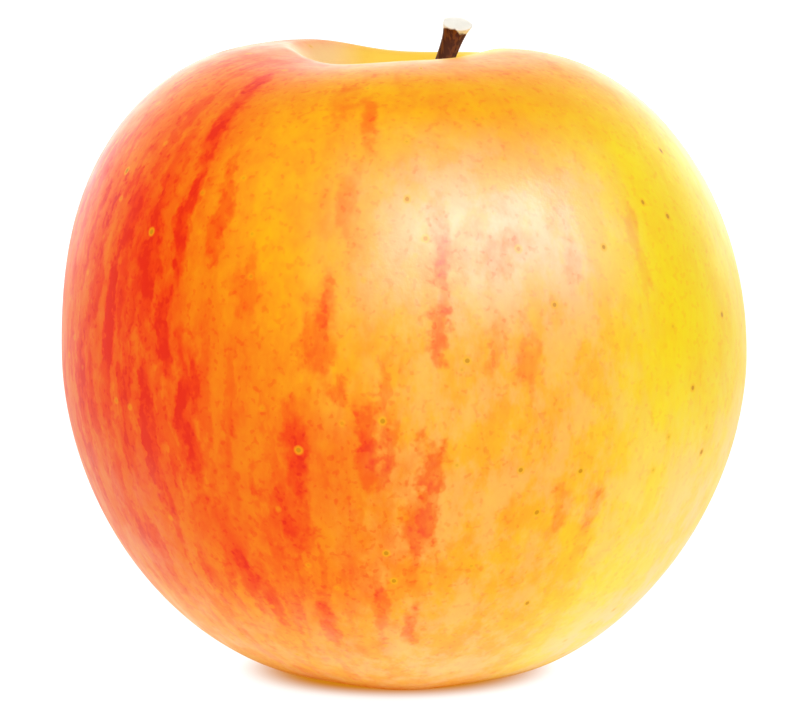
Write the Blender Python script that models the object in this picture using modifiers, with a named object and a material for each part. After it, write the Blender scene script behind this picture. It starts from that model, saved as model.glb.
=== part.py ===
"""A whole ripe apple with its stem and its dried calyx, standing on the five low feet round the calyx basin.

The frame is in metres with +Z up. The origin lies on the surface the apple stands on, under its core.
The yellow side faces +X, the blushed side faces -X, and the side that shows best faces -Y.
"""

from math import atan2, cos, hypot, pi, radians, sin

import bmesh
import bpy
from mathutils import Matrix, Vector

# Driving sizes of the fruit: radius from the core line, and height above the ground
EQUATOR_RADIUS = 0.0387
EQUATOR_HEIGHT = 0.0363
RIM_RADIUS = 0.0125
RIM_HEIGHT = 0.0706
CAVITY_DEPTH = 0.0140
FOOT_RADIUS = 0.0090
BASIN_DEPTH = 0.0052

# How full each stretch of the outline is: 2 is an ellipse, less is more pointed
UPPER_FLANK_FULLNESS = 2.16
LOWER_FLANK_FULLNESS = 1.81
CAVITY_FLARE = 1.4

# Unevenness of growth: the crown sits towards -X and higher there, the rim waves, and five lobes run down
CROWN_SHIFT = 0.00135
RIM_TILT = 0.00035
RIM_WAVE = 0.00075
RIM_WAVE_CREST = radians(-24.0)
RIM_WAVE_FADE = 3
LOBE_COUNT = 5
LOBE_CREST = radians(-90.0)
RIM_LOBE = 0.00018
FLANK_LOBE = 0.00028
CROWN_LOBE_SHARE = 0.35
FOOT_LIFT = 0.00022
FOOT_LIFT_FADE = 8
FOOT_FLAT = 0.00018

# The seat in the flesh that holds the root of the stem, and the gap that keeps neighbours apart
GAP = 0.0003
SEAT_DEPTH = 0.0030

# The stem: its free length upwards, how far its end leans out, and how thick the wood is
STEM_RISE = 0.0169
STEM_REACH_RIGHT = 0.00655
STEM_REACH_FRONT = 0.0044
STEM_BOW = 0.30
STEM_BEND = 1.15
STEM_LEAN = radians(8.0)
STEM_CUT_TILT = radians(22.0)
STEM_ROOT_RADIUS = 0.00150
STEM_ROOT_TAPER = 3
STEM_NECK_RADIUS = 0.00110
STEM_END_RADIUS = 0.00178
STEM_END_DOME = 0.00040
STEM_FLARE_FADE = 16
STEM_CUT_FADE = 3
STEM_RIDGES = 5
STEM_RIDGE_HEIGHT = 0.00006

# The dried calyx: a woody button under the core line with curled sepals round it
BUTTON_RADIUS = 0.0022
BUTTON_HEIGHT = 0.0012
SEPAL_LENGTH = 0.0044
SEPAL_WIDTH = 0.0024
SEPAL_TIP_WIDTH = 0.0004
SEPAL_THICKNESS = 0.00040
SEPAL_ROOT_RADIUS = 0.0014
SEPAL_TIP_TAPER = 1.5
SEPAL_ROOT_SPREAD = radians(17.0)
SEPAL_TIP_SPREAD = radians(51.0)
SEPAL_FOLD = 0.0004
SEPAL_WAVE = 0.0006

# Mesh density
AROUND = 64
CAVITY_RINGS = 12
UPPER_RINGS = 17
LOWER_RINGS = 18
BASIN_RINGS = 6
STEM_SIDES = 20
STEM_RINGS = 14
STEM_RING_CROWDING = 1.6
STEM_END_INSETS = (0.12, 0.33)
STEM_END_SHARE = 0.999
BUTTON_SIDES = 20
BUTTON_RINGS = 10
SEPAL_SPANS = (4, 6)
WELD = 0.00001
SHARP_ANGLE = radians(50.0)

SKIN = {"color": (0.92, 0.42, 0.05, 1.0), "roughness": 0.35}
BARK = {"color": (0.11, 0.05, 0.012, 1.0), "roughness": 0.75}
DRIED_LEAF = {"color": (0.17, 0.11, 0.05, 1.0), "roughness": 0.85}


def superellipse(steps, fullness):
    """Quarter of a superellipse, as points that run from (0, 1) to (1, 0)."""
    angles = [pi / 2 * step / steps for step in range(steps + 1)]
    return [(sin(a) ** (2 / fullness), cos(a) ** (2 / fullness)) for a in angles]


def seat_floor():
    """Height of the floor of the stem's seat."""
    return RIM_HEIGHT - CAVITY_DEPTH - SEAT_DEPTH


def seat_outline():
    """The short bore in the flesh that the root of the stem stands in."""
    return [(0.0, seat_floor()), (STEM_ROOT_RADIUS + GAP, seat_floor())]


def cavity_outline():
    """The funnel round the stem, from the mouth of the seat up to just short of the rim."""
    mouth = STEM_ROOT_RADIUS + GAP
    shares = [ring / CAVITY_RINGS for ring in range(CAVITY_RINGS)]
    return [
        (mouth + (RIM_RADIUS - mouth) * share, RIM_HEIGHT - CAVITY_DEPTH * (1 - share**CAVITY_FLARE) ** 2)
        for share in shares
    ]


def flank_outline():
    """The outside of the fruit, from the rim over the equator to the feet."""
    crown = EQUATOR_RADIUS - RIM_RADIUS, RIM_HEIGHT - EQUATOR_HEIGHT
    upper = [
        (RIM_RADIUS + crown[0] * out, EQUATOR_HEIGHT + crown[1] * up)
        for out, up in superellipse(UPPER_RINGS, UPPER_FLANK_FULLNESS)
    ]
    lower = [
        (FOOT_RADIUS + (EQUATOR_RADIUS - FOOT_RADIUS) * out, EQUATOR_HEIGHT * (1 - down))
        for out, down in superellipse(LOWER_RINGS, LOWER_FLANK_FULLNESS)
    ]
    return upper + lower[-2::-1]


def basin_outline():
    """The shallow dish that holds the calyx, from inside the feet to the core line."""
    shares = [1 - ring / BASIN_RINGS for ring in range(1, BASIN_RINGS + 1)]
    return [(FOOT_RADIUS * share, BASIN_DEPTH * (1 - share**2) ** 2) for share in shares]


def grow(point):
    """Moves a point of the regular, turned fruit to its place in the uneven, grown one."""
    x, y, z = point
    radius, angle = hypot(x, y), atan2(y, x)
    top = max(0.0, (z - EQUATOR_HEIGHT) / (RIM_HEIGHT - EQUATOR_HEIGHT))
    low = max(0.0, 1 - z / EQUATOR_HEIGHT)
    lobe = cos(LOBE_COUNT * (angle - LOBE_CREST))
    outward = min(1.0, radius / FOOT_RADIUS)

    rim = RIM_WAVE * cos(2 * (angle - RIM_WAVE_CREST)) + RIM_LOBE * lobe - RIM_TILT * cos(angle)
    z += rim * top**RIM_WAVE_FADE * min(1.0, radius / RIM_RADIUS)
    z += FOOT_LIFT * (1 - lobe) / 2 * low**FOOT_LIFT_FADE * outward
    z = max(z - FOOT_FLAT, 0.0)

    swell = (CROWN_LOBE_SHARE + (1 - CROWN_LOBE_SHARE) * low) * max(0.0, 1 - top**2)
    radius += FLANK_LOBE * lobe * outward * swell
    crown = min(1.0, top)
    shift = CROWN_SHIFT * crown**2 * (3 - 2 * crown)
    return Vector((radius * cos(angle) - shift, radius * sin(angle), z))


def stem_place(point):
    """Moves a point of an upright rod, 1 high and 1 in radius, to its place in the curved, flared stem."""
    x, y, along = point
    across = hypot(x, y)
    share = 1 - (1 - along) ** STEM_RING_CROWDING
    rise = (SEAT_DEPTH + STEM_RISE) * share
    free = max(0.0, rise - SEAT_DEPTH) / STEM_RISE
    reach = free**STEM_BEND * (1 + STEM_BOW * (1 - free))
    floor = grow((0.0, 0.0, seat_floor()))
    centre = floor + Vector((STEM_REACH_RIGHT * reach, -STEM_REACH_FRONT * reach, GAP + rise))

    root = (STEM_ROOT_RADIUS - STEM_NECK_RADIUS) * (1 - free) ** STEM_ROOT_TAPER
    flare = (STEM_END_RADIUS - STEM_NECK_RADIUS) * free**STEM_FLARE_FADE
    ridge = STEM_RIDGE_HEIGHT * cos(STEM_RIDGES * atan2(y, x)) * min(1.0, 4 * free)
    radius = STEM_NECK_RADIUS + root + flare + ridge
    dome = STEM_END_DOME * (1 - across**2) if along > STEM_END_SHARE else 0.0

    lean = Matrix.Rotation(STEM_LEAN * min(1.0, 2 * free), 3, "Y")
    cut = Matrix.Rotation(STEM_CUT_TILT * free**STEM_CUT_FADE, 3, "X")
    return centre + cut @ lean @ Vector((x * radius, y * radius, dome))


def sepal_place(point, turn):
    """Moves a point of a flat unit leaf, root at y = 0 and tip at y = 1, to its place in one dried sepal."""
    x, y, _ = point
    width = SEPAL_WIDTH * (1 - y**SEPAL_TIP_TAPER) + SEPAL_TIP_WIDTH
    spread = SEPAL_ROOT_SPREAD + (SEPAL_TIP_SPREAD - SEPAL_ROOT_SPREAD) * y
    outward = SEPAL_ROOT_RADIUS + SEPAL_LENGTH * y * sin(spread)
    outward -= SEPAL_FOLD * (2 * x) ** 2 + SEPAL_WAVE * x * sin(2 * pi * y + turn)
    root = grow((0.0, 0.0, BASIN_DEPTH)) - Vector((0.0, 0.0, GAP + BUTTON_HEIGHT))
    leaf = Vector((outward, x * width, -SEPAL_LENGTH * y * cos(spread)))
    return root + Matrix.Rotation(turn, 3, "Z") @ leaf


def finished(name, shape, finish):
    """Wraps a finished bmesh as a named object with its own material."""
    bmesh.ops.recalc_face_normals(shape, faces=shape.faces)
    mesh = bpy.data.meshes.new(name)
    shape.to_mesh(mesh)
    shape.free()
    mesh.shade_smooth()
    mesh.set_sharp_from_angle(angle=SHARP_ANGLE)
    material = bpy.data.materials.new(name)
    material.use_nodes = True
    shader = material.node_tree.nodes["Principled BSDF"]
    shader.inputs["Base Color"].default_value = finish["color"]
    shader.inputs["Roughness"].default_value = finish["roughness"]
    mesh.materials.append(material)
    return bpy.data.objects.new(name, mesh)


def turned(outline):
    """Turns an outline round the core line with a Screw modifier, as a closed bmesh."""
    profile = bpy.data.meshes.new("profile")
    points = [(radius, 0.0, height) for radius, height in outline]
    profile.from_pydata(points, [(i, i + 1) for i in range(len(points) - 1)], [])
    guide = bpy.data.objects.new("profile", profile)
    bpy.context.scene.collection.objects.link(guide)
    screw = guide.modifiers.new("turn", "SCREW")
    screw.steps = screw.render_steps = AROUND
    screw.use_merge_vertices = True
    screw.merge_threshold = WELD
    graph = bpy.context.evaluated_depsgraph_get()
    shape = bmesh.new()
    shape.from_mesh(guide.evaluated_get(graph).data)
    bpy.data.objects.remove(guide)
    bmesh.ops.remove_doubles(shape, verts=shape.verts, dist=WELD)
    return shape


def make_fruit():
    """Turns the regular fruit first, then grows it into its uneven form."""
    fruit = turned(seat_outline() + cavity_outline() + flank_outline() + basin_outline())
    for vert in fruit.verts:
        vert.co = grow(vert.co)
    return finished("fruit", fruit, SKIN)


def cut_end(stem):
    """The flat face at the upper end of the rod."""
    return max(stem.faces, key=lambda face: face.calc_center_median().z)


def make_stem():
    """Starts from a rod with rings along it and across its cut end, then bends and flares it."""
    stem = bmesh.new()
    bmesh.ops.create_cone(
        stem,
        cap_ends=True,
        segments=STEM_SIDES,
        radius1=1.0,
        radius2=1.0,
        depth=1.0,
        matrix=Matrix.Translation((0.0, 0.0, 0.5)),
    )
    lengthwise = [edge for edge in stem.edges if edge.verts[0].co.z != edge.verts[1].co.z]
    bmesh.ops.subdivide_edges(stem, edges=lengthwise, cuts=STEM_RINGS)
    end = cut_end(stem)
    for inset in STEM_END_INSETS:
        bmesh.ops.inset_region(stem, faces=[end], thickness=inset, use_even_offset=True)
    bmesh.ops.poke(stem, faces=[end])
    for vert in stem.verts:
        vert.co = stem_place(vert.co)
    return finished("stem", stem, BARK)


def make_sepal(number):
    """One of the five dried leaves of the calyx, as a thin solid."""
    sepal = bmesh.new()
    across, along = SEPAL_SPANS
    unit = Matrix.Translation((0.0, 0.5, 0.0))
    bmesh.ops.create_grid(sepal, x_segments=across, y_segments=along, size=0.5, matrix=unit)
    turn = 2 * pi * number / LOBE_COUNT + LOBE_CREST
    for vert in sepal.verts:
        vert.co = sepal_place(vert.co, turn)
    bmesh.ops.triangulate(sepal, faces=sepal.faces)
    bmesh.ops.solidify(sepal, geom=sepal.faces, thickness=SEPAL_THICKNESS)
    return finished(f"sepal_{number + 1}", sepal, DRIED_LEAF)


def make_calyx(sepals):
    """The woody button with the sepals joined on."""
    button = bmesh.new()
    bmesh.ops.create_uvsphere(button, u_segments=BUTTON_SIDES, v_segments=BUTTON_RINGS, radius=1.0)
    bmesh.ops.scale(button, vec=(BUTTON_RADIUS, BUTTON_RADIUS, BUTTON_HEIGHT), verts=button.verts)
    centre = grow((0.0, 0.0, BASIN_DEPTH)) - Vector((0.0, 0.0, GAP + BUTTON_HEIGHT))
    bmesh.ops.translate(button, vec=centre, verts=button.verts)
    calyx = finished("calyx", button, DRIED_LEAF)
    join = calyx.modifiers.new("join", "BOOLEAN")
    join.operation = "UNION"
    join.operand_type = "COLLECTION"
    join.collection = sepals
    return calyx


def apply_join(obj):
    """Keeps the joined shape and drops the modifier that made it."""
    graph = bpy.context.evaluated_depsgraph_get()
    joined = bpy.data.meshes.new_from_object(obj.evaluated_get(graph))
    obj.modifiers.clear()
    obj.data = joined


def main():
    for leftover in list(bpy.data.objects):
        bpy.data.objects.remove(leftover)
    apple = bpy.data.collections.new("apple")
    sepals = bpy.data.collections.new("sepals")
    bpy.context.scene.collection.children.link(apple)
    bpy.context.scene.collection.children.link(sepals)

    apple.objects.link(make_fruit())
    apple.objects.link(make_stem())
    for number in range(LOBE_COUNT):
        sepals.objects.link(make_sepal(number))
    calyx = make_calyx(sepals)
    apple.objects.link(calyx)
    apply_join(calyx)
    for sepal in list(sepals.objects):
        bpy.data.objects.remove(sepal)
    bpy.data.collections.remove(sepals)


main()
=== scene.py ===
"""A whole ripe apple as it stands in a white studio: its streaked skin, its brown stem and its dried calyx.

Lengths are in metres, in the frame of the solids. The apple stands on z = 0 with its core on the z axis, the
yellow side faces +X, the blushed side faces -X and the side that shows best faces -Y, towards the camera.
"""

from math import cos, radians, sin

import bmesh
import bpy
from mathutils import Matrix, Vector, noise


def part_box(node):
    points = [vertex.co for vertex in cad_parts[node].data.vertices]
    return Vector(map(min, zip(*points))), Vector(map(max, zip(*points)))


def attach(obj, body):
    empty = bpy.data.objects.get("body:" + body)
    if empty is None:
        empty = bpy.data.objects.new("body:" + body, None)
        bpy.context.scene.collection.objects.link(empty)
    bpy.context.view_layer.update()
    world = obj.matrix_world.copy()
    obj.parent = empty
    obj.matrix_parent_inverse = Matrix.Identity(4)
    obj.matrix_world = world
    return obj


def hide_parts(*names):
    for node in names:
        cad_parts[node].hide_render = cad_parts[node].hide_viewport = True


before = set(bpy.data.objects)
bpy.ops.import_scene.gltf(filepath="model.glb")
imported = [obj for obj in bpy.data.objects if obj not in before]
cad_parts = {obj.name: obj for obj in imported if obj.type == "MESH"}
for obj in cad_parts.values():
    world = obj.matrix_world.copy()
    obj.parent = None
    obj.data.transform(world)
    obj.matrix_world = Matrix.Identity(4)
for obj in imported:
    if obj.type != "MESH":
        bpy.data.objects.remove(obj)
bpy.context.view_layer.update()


# The fruit. The real one is firm flesh under a thin waxy skin, which ripened yellow and took a red blush on
# the side that faced the sun. It grew from the flower in five lobes, so nothing on it is quite round, and
# the blush lies in streaks that run from the stem to the calyx.
SWELL_SIZE = 0.022
SWELL_HEIGHT = 0.00016
DIMPLE_SIZE = 0.006
DIMPLE_HEIGHT = 0.00003
FEET_HEIGHT = 0.004
MERGE_DISTANCE = 0.000002
FLAT_PAIR = radians(40.0)


def merged_copy(node):
    """A copy of a solid's mesh as a bmesh, with its loose triangles merged and paired into quads."""
    shape = bmesh.new()
    shape.from_mesh(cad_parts[node].data)
    bmesh.ops.remove_doubles(shape, verts=shape.verts, dist=MERGE_DISTANCE)
    bmesh.ops.join_triangles(
        shape, faces=shape.faces, angle_face_threshold=FLAT_PAIR, angle_shape_threshold=FLAT_PAIR
    )
    return shape


def piece_from(shape, name, node, smoothing):
    """Makes a finished bmesh a smooth piece that stands for a solid, and hides that solid."""
    mesh = bpy.data.meshes.new(name)
    shape.to_mesh(mesh)
    shape.free()
    mesh.shade_smooth()
    piece = bpy.data.objects.new(name, mesh)
    bpy.context.scene.collection.objects.link(piece)
    smooth = piece.modifiers.new("smooth", "SUBSURF")
    smooth.levels = smooth.render_levels = smoothing
    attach(piece, "root")
    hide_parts(node)
    return piece


def wobble(place, size):
    """Smooth unevenness of about that size, from -1 to 1."""
    return noise.noise(place / size)


fruit_shape = merged_copy("fruit")
fruit_shape.normal_update()
for vert in fruit_shape.verts:
    above_feet = min(1.0, vert.co.z / FEET_HEIGHT)
    swell = SWELL_HEIGHT * wobble(vert.co, SWELL_SIZE) + DIMPLE_HEIGHT * wobble(vert.co, DIMPLE_SIZE)
    vert.co += vert.normal * (swell - SWELL_HEIGHT / 2) * above_feet
fruit = piece_from(fruit_shape, "fruit_skin", "fruit", smoothing=2)


NOISE_MIDDLE = 0.5
MIX_SHARE = 0
MIX_FIRST = 6
MIX_SECOND = 7


class Signal:
    """One output of a shader node, which takes part in sums and products as a number would."""

    def __init__(self, finish, socket):
        self.finish = finish
        self.socket = socket

    def output(self, name):
        """Another output of the same node."""
        return Signal(self.finish, self.socket.node.outputs[name])

    def maths(self, operation, *values):
        return self.finish.node("Math", {"operation": operation}, dict(enumerate(values)))

    def __add__(self, other):
        return self.maths("ADD", self, other)

    def __radd__(self, other):
        return self.maths("ADD", other, self)

    def __sub__(self, other):
        return self.maths("SUBTRACT", self, other)

    def __rsub__(self, other):
        return self.maths("SUBTRACT", other, self)

    def __mul__(self, other):
        return self.maths("MULTIPLY", self, other)

    def __rmul__(self, other):
        return self.maths("MULTIPLY", other, self)


class Finish:
    """The shader nodes of a material or of the surroundings."""

    def __init__(self, owner):
        owner.use_nodes = True
        self.tree = owner.node_tree
        self.tree.nodes.clear()

    def node(self, kind, settings=None, sockets=None):
        """Adds a node, gives its sockets their values or links, and returns its first output in use."""
        made = self.tree.nodes.new(f"ShaderNode{kind}")
        for name, value in (settings or {}).items():
            if name == "stops":
                self.lay_stops(made.color_ramp, value)
            else:
                setattr(made, name, value)
        for name, value in (sockets or {}).items():
            if isinstance(value, Signal):
                self.tree.links.new(value.socket, made.inputs[name])
            else:
                made.inputs[name].default_value = value
        outputs = [socket for socket in made.outputs if socket.enabled]
        return Signal(self, outputs[0]) if outputs else None

    def lay_stops(self, ramp, stops):
        """Gives a colour ramp its stops, each a place and a colour."""
        while len(ramp.elements) < len(stops):
            ramp.elements.new(1.0)
        for element, (place, colour) in zip(ramp.elements, stops):
            element.position = place
            element.color = colour

    def object_place(self):
        return self.node("TexCoord").output("Object")

    def vector(self, operation, *values):
        return self.node("VectorMath", {"operation": operation}, dict(enumerate(values)))

    def fade(self, value, start, end, low=0.0, toward_highlight=1.0):
        """Runs smoothly from low, where value is start, to high, where it is end."""
        settings = {"interpolation_type": "SMOOTHSTEP"}
        return self.node("MapRange", settings, {0: value, 1: start, 2: end, 3: low, 4: toward_highlight})

    def sweep(self, angle, start, end, low=0.0, toward_highlight=1.0):
        """Runs smoothly from low, where the angle is start, to high, where it is end, both in degrees."""
        return self.fade(angle, radians(start), radians(end), low, toward_highlight)

    def cloud(self, place, scale, detail=2.0, roughness=0.5):
        """Soft noise from 0 to 1, mostly near the middle."""
        sockets = {"Vector": place, "Scale": scale, "Detail": detail, "Roughness": roughness}
        return self.node("TexNoise", {}, sockets)

    def swing(self, cloud, depth):
        """Makes noise swing round zero, by about that depth."""
        return depth * (cloud - NOISE_MIDDLE)

    def blend(self, share, first, second):
        """A colour that goes from the first to the second as share goes from 0 to 1."""
        sockets = {MIX_SHARE: share, MIX_FIRST: first, MIX_SECOND: second}
        return self.node("Mix", {"data_type": "RGBA"}, sockets)

    def relief(self, height, strength, depth):
        """Small unevenness of the surface, too fine for its mesh."""
        return self.node("Bump", {}, {"Strength": strength, "Distance": depth, "Height": height})

    def surface(self, sockets):
        """Ends the nodes of a material in a shader with these sockets."""
        shader = self.node("BsdfPrincipled", {}, sockets)
        self.node("OutputMaterial", {}, {"Surface": shader})


def finish_on(mesh, name):
    """Puts a new material on a mesh."""
    material = bpy.data.materials.new(name)
    mesh.materials.append(material)
    return Finish(material)


# How a screen turns its numbers into light: evenly near black, and by a power above that
SCREEN_WHITE = 255
SCREEN_TOE_END = 0.04045
SCREEN_TOE_SLOPE = 12.92
SCREEN_LIFT = 0.055
SCREEN_POWER = 2.4


def light_of(part):
    """The light that a screen gives for one part of a colour, both from 0 to 1."""
    if part <= SCREEN_TOE_END:
        return part / SCREEN_TOE_SLOPE
    return ((part + SCREEN_LIFT) / (1 + SCREEN_LIFT)) ** SCREEN_POWER


def tone(*parts):
    """A colour as a screen shows it, red, green and blue from 0 to 255, made linear for a shader."""
    return (*(light_of(part / SCREEN_WHITE) for part in parts), 1.0)


# From unripe yellow to the deep red of the sunny side
RIPENESS = (
    (0.00, tone(254, 222, 0)),
    (0.20, tone(253, 199, 4)),
    (0.40, tone(252, 170, 8)),
    (0.50, tone(251, 152, 12)),
    (0.60, tone(250, 131, 8)),
    (0.70, tone(249, 109, 6)),
    (0.80, tone(248, 87, 4)),
    (0.90, tone(246, 64, 4)),
    (1.00, tone(238, 42, 6)),
)
# Painted sheen round the gloss highlight, and the whiter painted highlight within it
PAINTED_SHEEN = tone(255, 208, 138)
PAINTED_HIGHLIGHT = tone(255, 215, 182)
# Painted reflection of the white floor and tent, and its copy on the crown
PAINTED_REFLECTION = tone(255, 216, 168)
PAINTED_CROWN_REFLECTION = tone(255, 206, 150)
HOLLOW = tone(253, 212, 56)
# Creamy painted reflection on the hollow's left wall
HOLLOW_REFLECTION = tone(255, 222, 150)
LENTICEL = tone(206, 132, 0)
LENTICEL_RING = tone(252, 184, 6)

# Streaks that stand out at the front: degrees to the right of the front and above the widest
# place, half width and half length in degrees, and how much riper than the skin beside them
STREAKS = (
    (5.3, 20.0, 1.0, 6.0, 0.12),
    (4.4, 11.0, 1.2, 4.5, 0.28),
    (4.6, -9.5, 1.7, 4.0, 0.28),
    (4.0, -17.0, 1.3, 6.0, 0.24),
    (1.6, -22.0, 1.6, 7.0, 0.14),
    (-5.2, -2.0, 1.5, 3.6, 0.24),
    (-4.6, -8.0, 2.0, 4.0, 0.18),
    (-1.8, -6.5, 1.0, 4.0, 0.16),
    (-2.8, 2.5, 0.9, 4.0, 0.14),
    (-9.6, 1.2, 1.6, 2.6, 0.20),
    (-13.5, 8.5, 2.8, 5.5, 0.24),
    (-12.8, 15.5, 1.2, 4.0, 0.12),
    (-17.2, -9.0, 1.6, 7.0, 0.18),
    (-18.5, -18.0, 2.0, 6.0, 0.18),
    (14.0, 8.8, 1.4, 4.0, 0.12),
    (19.8, 8.0, 1.5, 4.5, 0.14),
    (26.4, -20.6, 2.0, 4.5, 0.18),
    (33.5, -19.0, 1.8, 6.0, 0.18),
    (1.4, -42.0, 1.6, 5.5, 0.18),
    (-5.4, -37.0, 1.6, 7.0, 0.18),
    (-15.8, -41.0, 1.8, 4.5, 0.20),
    (5.4, 27.2, 1.6, 6.0, 0.13),
    (13.0, 24.5, 9.0, 5.0, 0.14),
    (28.0, 21.0, 1.5, 5.0, 0.18),
    (43.8, 23.6, 1.4, 7.0, 0.20),
    (-9.0, 30.0, 1.8, 6.0, 0.14),
    (-7.6, 46.0, 2.0, 5.5, 0.20),
    (-14.0, 50.0, 4.0, 4.0, 0.14),
    (-54.0, 27.0, 2.4, 5.0, 0.16),
    (-46.0, 21.0, 2.0, 7.0, 0.20),
    (-40.0, 26.0, 1.6, 8.0, 0.22),
    (-33.2, 28.0, 1.3, 10.0, 0.20),
    (-43.5, 53.0, 2.2, 4.0, 0.24),
    (-41.0, 47.0, 2.2, 4.5, 0.20),
    (-41.0, 40.0, 1.8, 5.5, 0.20),
    (-41.5, 9.5, 1.6, 6.0, 0.20),
    (-37.8, 0.0, 1.5, 7.0, 0.22),
    (-34.6, 2.5, 1.3, 5.0, 0.20),
    (-36.0, -10.0, 1.6, 6.0, 0.22),
    (-45.0, -6.0, 1.8, 8.0, 0.14),
    (-55.5, 10.0, 1.2, 9.0, 0.16),
    (-65.5, 0.0, 2.0, 8.0, 0.14),
    (-26.0, 16.5, 2.4, 4.0, 0.12),
    (-31.0, -34.0, 2.0, 6.0, 0.18),
    (-27.0, -38.0, 1.8, 5.0, 0.18),
)
STREAK_EDGE = 1.5, 0.6
STREAK_STRENGTH = 0.4
STREAK_PATCHINESS = 1.1

# Lenticels that stand out at the front, in the same degrees, and the small pores all round
LENTICELS = (
    (0.4, 31.4),
    (3.4, 25.2),
    (19.0, 23.4),
    (35.4, 23.0),
    (48.0, 29.6),
    (53.8, 26.8),
    (63.6, 37.8),
    (64.6, 9.6),
    (53.0, -0.8),
    (58.8, -12.2),
    (9.6, 6.6),
    (24.4, 14.6),
    (22.4, -18.6),
    (18.6, -11.0),
    (29.4, -12.0),
    (-2.0, -30.8),
    (-3.2, -25.2),
    (25.6, -37.4),
    (-47.4, 24.2),
    (-61.6, 33.0),
    (5.6, 61.8),
    (-16.8, -7.6),
    (-3.4, -2.6),
)
LENTICEL_EDGE = 0.50, 0.25
LENTICEL_STRENGTH = 0.8
RING_EDGE = 0.95, 0.475
RING_STRENGTH = 0.6
LENTICEL_WAVER = 0.006
PORES_PER_METRE = 250.0
PORE_EDGE = 0.055, 0.035
PORE_STRENGTH = 0.25
PORE_RING_EDGE = 0.14, 0.05
PORE_RING_STRENGTH = 0.6

# Noise in the skin: spots per metre, how many finer layers it has, and how strong those are
MOTTLE = 110.0, 3.0, 0.55
PATCHES = 330.0, 4.0, 0.62
FLECKS = 900.0, 2.0, 0.6
SPECKS = 1300.0, 1.0
CLOUDS = 260.0, 4.0, 0.65
BENDS = 170.0, 4.0, 0.6
RIPPLES = 700.0, 2.0, 0.6
GRAIN = 1600.0, 2.0
UPRIGHT = 1.0, 1.0, 0.6

# Noise drawn out along the meridians: how fine it is across and along them, its sway, its finer layers
BROAD_STRANDS = 11.0, 3.0, 1.0, 2.0
FINE_STRANDS = 21.0, 4.5, 1.5, 2.0
RIPPLE_SHARE = 0.5
STREAK_BEND = 0.13, 0.32, 0.0
STREAK_RIPPLE = 0.05, 0.12, 0.0
BROAD_STRAND_EDGE = 0.50, 0.66
FINE_STRAND_EDGE = 0.50, 0.64
STRANDS_MEAN = 0.6
STRANDS_STRENGTH = 0.02
STRANDS_IN_RED = 0.07
SPECK_EDGE = 0.58, 0.70
SPECK_STRENGTH = 0.09

# Where the parts of the skin start and where they are full, in degrees: a turn is to the right of the front
# or of the back, whichever is nearer, and a rise is above the widest place
EQUATOR_HEIGHT = 0.0363
YELLOW_TURN = 20.0, 48.0
YELLOW_RISE = 56.0, 36.0
BLUSH_EDGE_RISE = 24.0, -14.0
BLUSH_EDGE_TURN = radians(-33.0), radians(-2.0)
BLUSH_SOFTNESS = 19.0
DEEP_TURN = -28.0, -48.0
DEEP_FOOT_RISE = -46.0, -18.0
DEEP_CROWN_RISE = 54.0, 26.0
FOOT_RISE = -24.0, -58.0
CROWN_RISE = 54.0, 64.0
BROAD_RAGGEDNESS = 0.30
FINE_RAGGEDNESS = 0.20
MOTTLE_RAGGEDNESS = 0.22

# How ripe the ground colour is, and how much each part of the fruit and each noise changes that
GROUND = 0.40
YELLOW_PART = 0.36
BLUSH_PART = 0.29
DEEP_PART = 0.13
FOOT_PART = 0.04
BLUSHED_FOOT_PART = 0.18
CROWN_PART = 0.12
MOTTLE_DEPTH = 0.20
PATCH_DEPTH = 0.34
FLECK_DEPTH = 0.16

# A pale painted sheen round the gloss highlight at the front, which is thicker higher up, whiter there as a
# painted highlight, and thin on the ripest skin
SHEEN_LEFT_TURN = -19.5, 8.0
SHEEN_RIGHT_TURN = 48.7, 31.5
SHEEN_RISE = 48.7, 28.6
HIGHLIGHT_RISE = 6.9, 21.8
CLOUD_EDGE = 0.40, 0.62
SHEEN_SHARE = 0.05
SHEEN_IN_CLOUDS = 0.26
HIGHLIGHT_SHARE = 0.22
SHEEN_BY_RIPENESS = 0.72, 0.40, 0.25, 1.0

# The painted reflection of the white floor and tent, a pale veil low down on both sides, at the foot, far
# round to the sides and on the crown. The last two of four values are that part's strength where it starts
# and where it is full
VEIL_RIGHT_TURN = 25.8, 60.2
VEIL_RIGHT_RISE = 8.0, -24.1
VEIL_LEFT_TURN = -34.4, -63.0
VEIL_LEFT_RISE = 0.0, -28.6, 0.0, 0.5
VEIL_FOOT_RISE = -29.8, -57.3, 0.0, 0.6
VEIL_FAR_LEFT_TURN = -60.2, -85.9, 0.0, 0.45
VEIL_FAR_RIGHT_TURN = 57.3, 85.9, 0.0, 0.45
VEIL_SHARE = 0.26
VEIL_IN_CLOUDS = 0.30
CROWN_VEIL_RISE = 55.0, 66.0
CROWN_VEIL_SHARE = 0.22
CROWN_VEIL_IN_CLOUDS = 0.14

# The paler hollow round the stem, with a creamy painted reflection of the tent on its left wall
CAVITY_RADIUS = 0.0125
HOLLOW_REACH = 1.15 * CAVITY_RADIUS, 0.85 * CAVITY_RADIUS
HOLLOW_HEIGHT = 0.05, 0.06
HOLLOW_REFLECTION_PLACE = -0.004, -0.009
HOLLOW_SHARE = 0.85

# The wax, duller in patches and on the crown, and dullest at the back of the crown, which is dusty
WAX_ROUGHNESS = 0.31
WAX_PATCH_ROUGHNESS = 0.22
WAX_CROWN_ROUGHNESS = 0.06
WAX_DUST_ROUGHNESS = 0.35
WAX_GLOSS = 0.09
DUST_RISE = 34.0, 52.0
DUST_BACK = 0.004, 0.014
GRAIN_STRENGTH = 0.12
GRAIN_DEPTH = 0.0002

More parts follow.
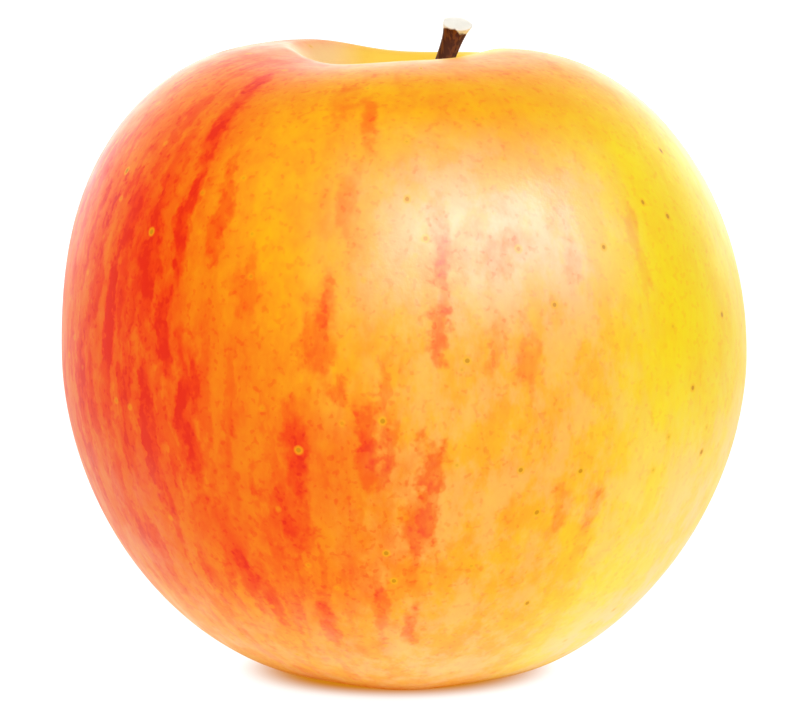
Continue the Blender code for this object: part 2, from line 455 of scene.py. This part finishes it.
skin = finish_on(fruit.data, "streaked_skin")
place = skin.object_place()
level = skin.vector("MULTIPLY", place, (1.0, 1.0, 0.0))
across = skin.vector("LENGTH", level)
heading = skin.vector("NORMALIZE", level)
right = skin.node("SeparateXYZ", {}, {0: place})
back = right.output("Y")
height = right.output("Z")
azimuth = right.maths("ARCTAN2", right, 0.0 - back)
elevation = height.maths("ARCTAN2", height - EQUATOR_HEIGHT, across)

# The skin is patchy at every size, and its patches are longer up and down than they are round
upright = skin.vector("MULTIPLY", place, UPRIGHT)
mottle = skin.cloud(place, *MOTTLE)
patches = skin.cloud(upright, *PATCHES)
flecks = skin.cloud(upright, *FLECKS)


def wander(scale, detail, roughness):
    """A vector that wanders round zero from place to place."""
    cloud = skin.cloud(place, scale, detail, roughness).output("Color")
    return skin.vector("SUBTRACT", cloud, (NOISE_MIDDLE, NOISE_MIDDLE, NOISE_MIDDLE))


bend = wander(*BENDS)
ripple = wander(*RIPPLES)


def strands(turns, rise, sway, detail):
    """Noise drawn out along the meridians, finer round the fruit with more turns, and swayed to and fro."""
    small_sway = RIPPLE_SHARE * sway
    stretched = skin.node("CombineXYZ", {}, {2: elevation * rise})
    ring = skin.vector("MULTIPLY_ADD", heading, (turns, turns, 0.0), stretched)
    ring = skin.vector("MULTIPLY_ADD", bend, (sway, sway, sway), ring)
    ring = skin.vector("MULTIPLY_ADD", ripple, (small_sway, small_sway, small_sway), ring)
    return skin.cloud(ring, 1.0, detail)


broad = strands(*BROAD_STRANDS)
fine = strands(*FINE_STRANDS)

# The back ripened as the front did, so the parts of the skin follow a turn folded front to back
turned = right.maths("ARCTAN2", right, right.maths("ABSOLUTE", back))
ragged = turned + skin.swing(broad, BROAD_RAGGEDNESS)
ragged = ragged + skin.swing(fine, FINE_RAGGEDNESS) + skin.swing(mottle, MOTTLE_RAGGEDNESS)
blush_edge = skin.sweep(elevation, *BLUSH_EDGE_RISE, *BLUSH_EDGE_TURN)
yellow = skin.sweep(ragged, *YELLOW_TURN) * skin.sweep(elevation, *YELLOW_RISE)
blush = skin.sweep(ragged - blush_edge, BLUSH_SOFTNESS, -BLUSH_SOFTNESS)
deep = skin.sweep(ragged, *DEEP_TURN) * skin.sweep(elevation, *DEEP_FOOT_RISE)
deep = deep * skin.sweep(elevation, *DEEP_CROWN_RISE)
foot = skin.sweep(elevation, *FOOT_RISE)
crown = skin.sweep(elevation, *CROWN_RISE)
ground = GROUND - YELLOW_PART * yellow + BLUSH_PART * blush + DEEP_PART * deep + CROWN_PART * crown
ground = ground - (FOOT_PART + BLUSHED_FOOT_PART * blush) * foot
ground = ground + skin.swing(mottle, MOTTLE_DEPTH) + skin.swing(patches, PATCH_DEPTH)
ground = ground + skin.swing(flecks, FLECK_DEPTH)

facing = skin.node("CombineXYZ", {}, {0: azimuth, 1: elevation})
bent = skin.vector("MULTIPLY_ADD", bend, STREAK_BEND, facing)
bent = skin.vector("MULTIPLY_ADD", ripple, STREAK_RIPPLE, bent)
marks = 0.0
for turn, rise, half_width, half_length, strength in STREAKS:
    spread = Vector((1 / radians(half_width), 1 / radians(half_length), 0.0))
    centre = Vector((radians(turn), radians(rise), 0.0))
    offset = skin.vector("MULTIPLY_ADD", bent, spread, -centre * spread)
    marks = marks + skin.fade(skin.vector("LENGTH", offset), *STREAK_EDGE, 0.0, strength)

all_strands = skin.fade(broad, *BROAD_STRAND_EDGE) + skin.fade(fine, *FINE_STRAND_EDGE)
specks = skin.fade(skin.cloud(place, *SPECKS), *SPECK_EDGE)
ripeness = ground + (all_strands - STRANDS_MEAN) * (STRANDS_STRENGTH + STRANDS_IN_RED * (blush + deep))
ripeness = ripeness + marks * (STREAK_STRENGTH + STREAK_PATCHINESS * patches) + SPECK_STRENGTH * specks
colour = skin.node("ValToRGB", {"stops": RIPENESS}, {0: ripeness})

# A painted sheen at the front round the gloss highlight, turning into a whiter painted highlight higher up
cloudy = skin.fade(skin.cloud(upright, *CLOUDS), *CLOUD_EDGE)
toward_highlight = skin.sweep(elevation, *HIGHLIGHT_RISE)
painted_sheen = skin.sweep(azimuth, *SHEEN_LEFT_TURN) * skin.sweep(azimuth, *SHEEN_RIGHT_TURN)
painted_sheen = painted_sheen * skin.sweep(elevation, *SHEEN_RISE) * skin.fade(ripeness, *SHEEN_BY_RIPENESS)
painted_sheen = painted_sheen * (SHEEN_SHARE + SHEEN_IN_CLOUDS * cloudy + HIGHLIGHT_SHARE * toward_highlight)
colour = skin.blend(painted_sheen, colour, skin.blend(toward_highlight, PAINTED_SHEEN, PAINTED_HIGHLIGHT))

# Painted reflection of the white floor and tent, low on both sides, at the foot and far round the sides
painted_reflection = skin.sweep(turned, *VEIL_RIGHT_TURN) * skin.sweep(elevation, *VEIL_RIGHT_RISE)
painted_reflection = painted_reflection + skin.sweep(turned, *VEIL_LEFT_TURN) * skin.sweep(elevation, *VEIL_LEFT_RISE)
painted_reflection = painted_reflection + skin.sweep(elevation, *VEIL_FOOT_RISE)
painted_reflection = painted_reflection + skin.sweep(turned, *VEIL_FAR_LEFT_TURN) + skin.sweep(turned, *VEIL_FAR_RIGHT_TURN)
colour = skin.blend(painted_reflection * (VEIL_SHARE + VEIL_IN_CLOUDS * cloudy), colour, PAINTED_REFLECTION)
# A painted reflection of the bright tent on the crown
painted_crown_reflection = skin.sweep(elevation, *CROWN_VEIL_RISE) * (CROWN_VEIL_SHARE + CROWN_VEIL_IN_CLOUDS * cloudy)
colour = skin.blend(painted_crown_reflection, colour, PAINTED_CROWN_REFLECTION)

hollow = skin.fade(across, *HOLLOW_REACH) * skin.fade(height, *HOLLOW_HEIGHT)
# A creamy painted reflection on the hollow's left wall
hollow_colour = skin.blend(skin.fade(right, *HOLLOW_REFLECTION_PLACE), HOLLOW, HOLLOW_REFLECTION)
colour = skin.blend(hollow * HOLLOW_SHARE, colour, hollow_colour)

nearest = None
for turn, rise in LENTICELS:
    reach = skin.vector("DISTANCE", facing, (radians(turn), radians(rise), 0.0))
    nearest = reach if nearest is None else nearest.maths("MINIMUM", nearest, reach)
wavy = nearest + skin.swing(flecks, LENTICEL_WAVER)
pores = skin.node("TexVoronoi", {}, {"Vector": place, "Scale": PORES_PER_METRE})
ring = skin.sweep(wavy, *RING_EDGE) + skin.fade(pores, *PORE_RING_EDGE) * PORE_RING_STRENGTH
dot = skin.sweep(wavy, *LENTICEL_EDGE) * LENTICEL_STRENGTH + skin.fade(pores, *PORE_EDGE) * PORE_STRENGTH
colour = skin.blend(ring * RING_STRENGTH, colour, LENTICEL_RING)
colour = skin.blend(dot, colour, LENTICEL)

dust = skin.sweep(elevation, *DUST_RISE) * skin.fade(back, *DUST_BACK)
dullness = WAX_PATCH_ROUGHNESS * patches + WAX_CROWN_ROUGHNESS * crown + WAX_DUST_ROUGHNESS * dust
skin.surface(
    {
        "Base Color": colour,
        "Roughness": WAX_ROUGHNESS + dullness,
        "Specular IOR Level": WAX_GLOSS,
        "Normal": skin.relief(skin.cloud(place, *GRAIN), GRAIN_STRENGTH, GRAIN_DEPTH),
    }
)


# The stem. The real one is a thin woody stalk that grew out of the core through the hollow at the top. It
# was cut off at the upper end, where it flares and shows its pale wood, and its bark has dried dark brown.
BARK_WAVE_SIZE = 0.0006
BARK_WAVE_HEIGHT = 0.00007
BARK_WAVE_INSET = 0.5
BARK = tone(118, 64, 10)
BARK_SHADE = tone(78, 36, 2)
# A painted highlight in olive grey on the left of the stem
BARK_HIGHLIGHT = tone(132, 118, 66)
CUT_WOOD = tone(243, 239, 227)
ALONG_STEM = 1.0, 1.0, 0.18
FIBRES = 2600.0, 3.0
FIBRE_EDGE = 0.42, 0.60
BARK_PATCHES = 700.0, 2.0
BARK_HIGHLIGHT_EDGE = 0.50, 0.68
BARK_HIGHLIGHT_PLACE = 0.0025, 0.0015
BARK_HIGHLIGHT_SHARE = 0.7
CUT_HEIGHT = 0.0013
CUT_RAGGEDNESS = 0.0010
CUT_DIP = 0.0006
CUT_DIP_START = 0.0022
CUT_DIP_END = 0.0016
CUT_SOFTNESS = 0.0002
BARK_RELIEF = 0.5
BARK_RELIEF_DEPTH = 0.0002
BARK_ROUGHNESS = 0.8
BARK_GLOSS = 0.1

stem_shape = merged_copy("stem")
stem_shape.normal_update()
for vert in stem_shape.verts:
    vert.co += vert.normal * BARK_WAVE_HEIGHT * (wobble(vert.co, BARK_WAVE_SIZE) - BARK_WAVE_INSET)
stem = piece_from(stem_shape, "stem_wood", "stem", smoothing=2)

bark = finish_on(stem.data, "dry_bark")
place = bark.object_place()
beside = bark.node("SeparateXYZ", {}, {0: place})
height = beside.output("Z")
fibres = bark.cloud(bark.vector("MULTIPLY", place, ALONG_STEM), *FIBRES)
bark_patches = bark.cloud(place, *BARK_PATCHES)
colour = bark.blend(bark.fade(fibres, *FIBRE_EDGE), BARK_SHADE, BARK)
# A painted highlight in patches on the left of the stem
bark_highlight = bark.fade(bark_patches, *BARK_HIGHLIGHT_EDGE) * bark.fade(beside, *BARK_HIGHLIGHT_PLACE)
colour = bark.blend(bark_highlight * BARK_HIGHLIGHT_SHARE, colour, BARK_HIGHLIGHT)

# The pale wood of the cut reaches lower on the right, where the stem flares out
stem_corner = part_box("stem")[1]
dip = CUT_DIP * bark.fade(beside, stem_corner[0] - CUT_DIP_START, stem_corner[0] - CUT_DIP_END)
cut_start = stem_corner[2] - CUT_HEIGHT
cut_place = height + dip + bark.swing(bark_patches, CUT_RAGGEDNESS)
cut = bark.fade(cut_place, cut_start, cut_start + CUT_SOFTNESS)
colour = bark.blend(cut, colour, CUT_WOOD)
bark.surface(
    {
        "Base Color": colour,
        "Roughness": BARK_ROUGHNESS,
        "Specular IOR Level": BARK_GLOSS,
        "Normal": bark.relief(fibres, BARK_RELIEF, BARK_RELIEF_DEPTH),
    }
)


# The calyx. The real one is what is left of the flower: five leaves, dried brown and curled, round a woody
# button in the small basin between the feet.
LEAF = tone(128, 96, 58)
LEAF_SHADE = tone(74, 52, 30)
VEINS = 1800.0, 4.0
VEIN_EDGE = 0.35, 0.65
LEAF_RELIEF = 0.5
LEAF_RELIEF_DEPTH = 0.0003
LEAF_ROUGHNESS = 0.85

calyx = piece_from(merged_copy("calyx"), "calyx_leaves", "calyx", smoothing=1)
leaf = finish_on(calyx.data, "dried_leaf")
veins = leaf.cloud(leaf.object_place(), *VEINS)
leaf.surface(
    {
        "Base Color": leaf.blend(leaf.fade(veins, *VEIN_EDGE), LEAF_SHADE, LEAF),
        "Roughness": LEAF_ROUGHNESS,
        "Normal": leaf.relief(veins, LEAF_RELIEF, LEAF_RELIEF_DEPTH),
    }
)


# The floor. A wide sheet of white paper over a light table, which glows everywhere except in a shadow
# painted round the apple's foot, a little longer to the sides than to the front. The painted shadow reaches
# further for the light that the floor gives the skin than for the camera, which darkens the skin's lower
# edge.
FLOOR_SIDE = 12.0
PAPER = tone(96, 96, 95)
PAPER_ROUGHNESS = 0.8
PAPER_GLOSS = 0.2
TABLE_LIGHT = tone(255, 254, 252)
PAINTED_SHADOW = tone(196, 124, 20)
TABLE_GLOW = 1.0
SHADE_SHAPE = 0.90, 1.0, 1.0
SHADE_CENTRE = -0.0007, 0.0006, 0.0
DARK_RADIUS = 0.011
LIT_RADIUS = 0.0174
SHADE_MARGIN = 0.0048

floor_shape = bmesh.new()
bmesh.ops.create_grid(floor_shape, x_segments=1, y_segments=1, size=FLOOR_SIDE / 2)
floor_mesh = bpy.data.meshes.new("floor")
floor_shape.to_mesh(floor_mesh)
floor_shape.free()
floor = bpy.data.objects.new("floor", floor_mesh)
bpy.context.scene.collection.objects.link(floor)

paper = finish_on(floor_mesh, "white_paper")
foot_place = paper.vector("MULTIPLY", paper.object_place(), SHADE_SHAPE)
from_foot = paper.vector("DISTANCE", foot_place, SHADE_CENTRE)
straight = paper.node("LightPath").output("Is Camera Ray")
# A painted shadow round the apple's foot, wider for the light that reaches the skin than for the camera
glow = paper.fade(from_foot - SHADE_MARGIN * (1.0 - straight), DARK_RADIUS, LIT_RADIUS)
paper.surface(
    {
        "Base Color": PAPER,
        "Roughness": PAPER_ROUGHNESS,
        "Specular IOR Level": PAPER_GLOSS,
        "Emission Color": paper.blend(glow, PAINTED_SHADOW, TABLE_LIGHT),
        "Emission Strength": TABLE_GLOW,
    }
)


# The light. A white tent surrounds the apple, bright behind it, dim overhead and dimmer on the camera's
# side. A long soft lamp stands to the right of the camera and above it, and a broad one higher up to the
# left, both without gloss. One more lamp, near the long one, shows in the gloss alone.
TENT_WHITE = 1.0, 1.0, 1.0, 1.0
TENT_BEHIND = 5.0, 5.2
TENT_SIDE = 0.17
TENT_FRONT = 0.06
TENT_OVERHEAD = 0.26
TENT_SEEN = 1.0
FRONT_DEPTH = -0.8, 0.0
BACK_DEPTH = 0.4, 1.0
BACK_LEFT_TO_RIGHT = -0.3, 0.5
OVERHEAD_HEIGHT = 0.30, 0.75
LAMP_DISTANCE = 0.7
KEY_PLACE = radians(-50.0), radians(42.0)
KEY_SIZE = 0.80, 0.30
KEY_POWER = 1.34
FILL_PLACE = radians(-125.0), radians(60.0)
FILL_SIZE = 0.60, 0.60
FILL_POWER = 3.1
GLOSS_PLACE = radians(-56.0), radians(37.0)
GLOSS_DISTANCE = 0.6
GLOSS_SIZE = 0.66, 0.20
GLOSS_POWER = 38.0


def lamp(name, place, distance, size, power):
    """A soft lamp that points at the middle of the fruit from that azimuth and elevation."""
    light = bpy.data.lights.new(name, "AREA")
    light.shape = "RECTANGLE"
    light.size, light.size_y = size
    light.energy = power
    holder = bpy.data.objects.new(name, light)
    azimuth, elevation = place
    away = Vector((cos(azimuth) * cos(elevation), sin(azimuth) * cos(elevation), sin(elevation)))
    holder.location = Vector((0.0, 0.0, EQUATOR_HEIGHT)) + away * distance
    holder.rotation_euler = away.to_track_quat("Z", "Y").to_euler()
    bpy.context.scene.collection.objects.link(holder)
    return holder


lamp("key_lamp", KEY_PLACE, LAMP_DISTANCE, KEY_SIZE, KEY_POWER).visible_glossy = False
lamp("fill_lamp", FILL_PLACE, LAMP_DISTANCE, FILL_SIZE, FILL_POWER).visible_glossy = False
lamp("gloss_lamp", GLOSS_PLACE, GLOSS_DISTANCE, GLOSS_SIZE, GLOSS_POWER).visible_diffuse = False

world = bpy.data.worlds.new("tent")
bpy.context.scene.world = world
tent = Finish(world)
direction = tent.node("SeparateXYZ", {}, {0: tent.node("TexCoord").output("Generated")})
depth = direction.output("Y")
before = tent.fade(depth, *FRONT_DEPTH, TENT_FRONT, TENT_SIDE)
behind = tent.fade(direction, *BACK_LEFT_TO_RIGHT, *TENT_BEHIND)
around = before + tent.fade(depth, *BACK_DEPTH) * (behind - TENT_SIDE)
overhead = tent.fade(direction.output("Z"), *OVERHEAD_HEIGHT)
cloth = around + overhead * (TENT_OVERHEAD - around)
straight = tent.node("LightPath").output("Is Camera Ray")
strength = cloth + straight * (TENT_SEEN - cloth)
background = tent.node("Background", {}, {"Color": TENT_WHITE, "Strength": strength})
tent.node("OutputWorld", {}, {"Surface": background})
bpy.context.scene.view_settings.view_transform = "Standard"


# The camera. It stands in front of the apple and eight degrees above its middle, so that a little of the
# hollow shows round the stem, and its long lens fills the picture with the fruit.
CAMERA_DISTANCE = 0.42
CAMERA_ELEVATION = radians(8.0)
CAMERA_AIM = Vector((-0.0005, 0.0, 0.03555))
LENS = 167.3

camera_away = Vector((0.0, -cos(CAMERA_ELEVATION), sin(CAMERA_ELEVATION)))
camera = bpy.data.objects.new("camera", bpy.data.cameras.new("camera"))
camera.data.lens = LENS
camera.location = CAMERA_AIM + camera_away * CAMERA_DISTANCE
camera.rotation_euler = camera_away.to_track_quat("Z", "Y").to_euler()
bpy.context.scene.collection.objects.link(camera)
bpy.context.scene.camera = camera
